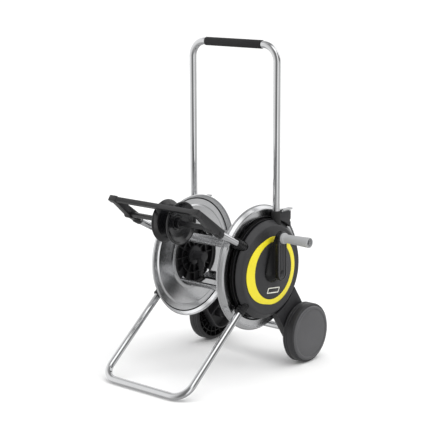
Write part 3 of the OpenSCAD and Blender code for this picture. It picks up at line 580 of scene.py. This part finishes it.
def crank_grip():
    """The turning hand grip: a collar, a slightly flared fluted barrel and a hollow end."""
    x0, x1, bore, collar = 233.0, 321.0, 5.1, CRANK_X1
    flutes, flute_depth, flute_width = 22, 0.035, 6
    outside = 11.8
    profile = [(bore, collar + 0.6), (15.8, collar + 0.6, 0.6), (16.6, collar + 2, 1.0),
               (16.2, x0 - 2, 1.2), (13.2, x0 + 1.5, 1.2), (12.9, x0 + 10, 8), (15.2, x1 - 8, 12),
               (15.4, x1 - 3, 2), (14.6, x1, 0.9), (12.6, x1, 0.7), (12.2, x1 - 8, 0.8),
               (9.0, x1 - 8.2, 0.4), (9.0, x1 - 12.4, 0.5), (bore, x1 - 12.4)]
    bm = bmesh.new()
    revolve(bm, rounded(profile, 1.0, closed=True, steps=6), (0, 0, DRUM_H + GRIP_Z), 176, True)
    pivot = at(0, 0, DRUM_H + GRIP_Z)
    for v in bm.verts:
        y, z, x = v.co.y - pivot.y, v.co.z - pivot.z, (v.co.x - pivot.x) / MM
        fade_in = min(1.0, max(0.0, (x - x0 - 6) / 5))
        fade_out = min(1.0, max(0.0, (x1 - 9 - x) / 5))
        if math.hypot(y, z) > outside * MM and fade_in * fade_out:
            wave = (0.5 + 0.5 * math.cos(flutes * math.atan2(z, y))) ** flute_width
            k = 1 - flute_depth * fade_in * fade_out * wave
            v.co.y, v.co.z = pivot.y + y * k, pivot.z + z * k
    new_object("crank_grip_barrel", from_bmesh(bm, "crank_grip_barrel"), "grip_grey", "grip", "grip_grey",
               "crank_grip")


crank_arm()
crank_grip()


# ---------------------------------------------------------------- hose guide discs

DISC_PROFILE = [(11.1, 0.2, 0.5), (19, 0.2, 0.5), (19.4, 6, 6), (24, 10.5, 6), (36, 13.5, 10), (50, 17.5, 12),
                (60, 23.5, 5), (63.4, 26.5, 2), (64, 29, 1.5), (63, 31.2, 1.2), (61, 32, 1.2), (59, 31, 1.2),
                (54, 25, 8), (43, 19, 12), (30, 15.6, 10), (23, 14.8, 4), (20, 12, 1.5), (16, 11.6, 1.0),
                (15, 28, 0.8), (11.1, 29, 0.5)]
SPOOL = middle("guide_bush")
SPOOL_AT = [(SPOOL[i] - DRUM[i]) / MM for i in range(3)]
for side, facing in SIDES:
    lathe(side + "_guide_disc_bowl", DISC_PROFILE, SPOOL_AT, "disc_plastic", "guide_spool", "disc_plastic",
          side + "_guide_disc", facing=facing, segments=144)


# ---------------------------------------------------------------- badge

BADGE_LENGTH, BADGE_HEIGHT, BADGE_LEAN, BADGE_CORNER = 56.0, 17.5, 6.0, 3.5
BADGE_X, BADGE_Y, BADGE_DROP = 187.0, -1, 61
BADGE_TURN = math.radians(-7)
CORNER_STEPS = 8
# (growth of the outline, height above the cover)
BADGE_RIM = [(0, 0.02), (0, 0.9), (-0.4, 1.35), (-1.4, 1.5), (-3.0, 1.4), (-3.4, 0.5)]
BADGE_FIELD = [(-3.2, 0.4), (-3.3, 0.75), (-3.46, 0.9)]


def badge_outline(grow, level):
    """A leaning plate outline with round corners, turned a little on the cover's face."""
    corners = []
    r = BADGE_CORNER + grow
    c, s = math.cos(BADGE_TURN), math.sin(BADGE_TURN)
    for sy, sz, start in ((-1, -1, math.pi), (1, -1, 1.5 * math.pi), (1, 1, 0), (-1, 1, 0.5 * math.pi)):
        for i in range(CORNER_STEPS + 1):
            a = start + math.pi / 2 * i / CORNER_STEPS
            z = sz * (BADGE_HEIGHT / 2 - BADGE_CORNER) + r * math.sin(a)
            y = sy * (BADGE_LENGTH / 2 - BADGE_CORNER) + r * math.cos(a) + BADGE_LEAN * z / BADGE_HEIGHT
            corners.append(at(BADGE_X + level, BADGE_Y + y * c - z * s, DRUM_H - BADGE_DROP + y * s + z * c))
    return corners


def badge():
    """A blank plate: a pale raised rim round a dark recessed field."""
    rim = bmesh.new()
    loft(rim, [badge_outline(*layer) for layer in BADGE_RIM])
    new_object("badge_rim", from_bmesh(rim, "badge_rim"), "badge_plate", "frame", "badge_plate",
               "badge_plate")
    field = bmesh.new()
    loft(field, [badge_outline(*layer) for layer in BADGE_FIELD])
    new_object("badge_field", from_bmesh(field, "badge_field"), "badge_dark", "frame", "badge_plate")


badge()


# ---------------------------------------------------------------- studio

# What polished surfaces see around the horizon: (degrees from the viewing side, brightness).
SURROUND = [(-180, 1.0), (-135, 1.0), (-116, 0.97), (-80, 0.92), (-60, 0.65), (-45, 0.42), (-29, 0.20),
            (0, 0.20), (12, 0.34), (20, 1.0), (29, 1.3), (38, 1.1), (48, 0.60), (60, 0.54), (82, 0.56),
            (100, 0.64), (118, 0.60), (145, 0.90), (180, 1.0)]
SURROUND_TOP = 1.4
ROOM, FLANK, CEILING, GROUND = 0.80, 0.17, 0.27, 0.44
# Soft boxes above the cart: (direction, edge and core of the glow, brightness).
SOFT_BOXES = [((0.45, -0.10, 0.85), (0.90, 0.96), 1.5), ((0.35, 0.74, 0.57), (0.86, 0.97), 1.3)]


def make_world():
    """Plain white room light. Reflections see soft boxes, dark flags and a grey floor around the cart."""
    world = bpy.data.worlds.new("studio")
    bpy.context.scene.world = world
    world.use_nodes = True
    g = Graph(world.node_tree)
    ray = g.add("ShaderNodeTexCoord").outputs["Generated"]
    ahead = Vector((CAMERA_SIDE.x, CAMERA_SIDE.y, 0)).normalized()
    across = Vector((-ahead.y, ahead.x, 0))

    def along(direction):
        return g.add("ShaderNodeVectorMath", {0: ray, 1: direction}, operation="DOT_PRODUCT").outputs["Value"]

    def grey(level):
        return (level, level, level, 1)

    height = g.add("ShaderNodeSeparateXYZ", {0: ray}).outputs[2]
    angle = g.math("ARCTAN2", along(across), along(ahead))
    ramp = g.add("ShaderNodeValToRGB", {0: g.span(angle, 0, 1, -math.pi, math.pi)})
    stops = ramp.color_ramp.elements
    stops[0].position, stops[1].position = 0.0, 1.0
    for degrees, _ in SURROUND[1:-1]:
        stops.new((degrees + 180) / 360)
    for stop, (_, level) in zip(stops, SURROUND):
        stop.color = grey(level / SURROUND_TOP)
    seen = g.mix(1.0, ramp.outputs[0], grey(SURROUND_TOP), "MULTIPLY")
    dark_side = g.math("MULTIPLY", g.span(height, 0, 1, -0.08, 0.12), g.band(angle, (0.75, 1.05), (1.9, 2.3)))
    seen = g.mix(dark_side, seen, grey(FLANK))
    bright_side = g.band(angle, (-2.4, -2.2), (-1.4, -1.15))
    overhead = g.math("MULTIPLY", g.span(height, 0, 1, 0.62, 0.78),
                      g.math("SUBTRACT", 1.0, g.math("MULTIPLY", bright_side, 0.4)))
    seen = g.mix(overhead, seen, grey(CEILING))
    for direction, glow, level in SOFT_BOXES:
        seen = g.mix(g.span(along(Vector(direction).normalized()), 0, 1, *glow), seen, grey(level))
    seen = g.mix(g.span(height, 0, 1, -0.35, -0.65), seen, grey(GROUND))
    mirror = g.add("ShaderNodeLightPath").outputs["Is Glossy Ray"]
    back = g.add("ShaderNodeBackground", {"Color": g.mix(mirror, grey(ROOM), seen), "Strength": 1.0})
    g.add("ShaderNodeOutputWorld", {"Surface": back.outputs[0]})


FLOOR_SIZE = 80.0
FLOOR_DROP = 0.0004
FLOOR_COLOUR = (0.93, 0.93, 0.93, 1)


def make_floor():
    """A wide pale floor just under the cart, which polished surfaces don't see."""
    bm = bmesh.new()
    bmesh.ops.create_circle(bm, cap_ends=True, segments=96, radius=FLOOR_SIZE)
    mesh = bpy.data.meshes.new("floor")
    bm.to_mesh(mesh)
    bm.free()
    floor = bpy.data.objects.new("floor", mesh)
    floor.location = (0, 0, -FLOOR_DROP)
    bpy.context.scene.collection.objects.link(floor)
    mat = bpy.data.materials.new("floor")
    mat.use_nodes = True
    g = Graph(mat.node_tree)
    surface = g.add("ShaderNodeBsdfPrincipled", {"Base Color": FLOOR_COLOUR, "Roughness": 0.9,
                                                 "Specular IOR Level": 0.0})
    g.add("ShaderNodeOutputMaterial", {"Surface": surface.outputs[0]})
    mesh.materials.append(mat)
    floor.visible_glossy = False


def make_light(data, place, target, energy):
    """Aims a light at the cart. Its own shape stays out of reflections."""
    data.energy = energy
    light = bpy.data.objects.new(data.name, data)
    light.location = place
    light.visible_glossy = False
    light.rotation_euler = (Vector(target) - Vector(place)).to_track_quat("-Z", "Y").to_euler()
    bpy.context.scene.collection.objects.link(light)


def sun(name, place, target, energy, angle):
    data = bpy.data.lights.new(name, "SUN")
    data.angle = angle
    make_light(data, place, target, energy)


def soft_box(name, place, target, energy, width, height):
    data = bpy.data.lights.new(name, "AREA")
    data.shape = "RECTANGLE"
    data.size, data.size_y = width, height
    make_light(data, place, target, energy)


make_world()
make_floor()
sun("top", (1.3, 0.9, 5), (0, 0, 0), 1.3, math.radians(60))
soft_box("key", (-2.6, -3.0, 2.6), (0, 0, 0.4), 30, 1.2, 2.4)
soft_box("side", (3.6, -0.4, 2.2), (0, 0, 0.4), 20, 0.9, 2.4)

scene = bpy.context.scene
scene.view_settings.view_transform = "Standard"
scene.view_settings.look = "None"
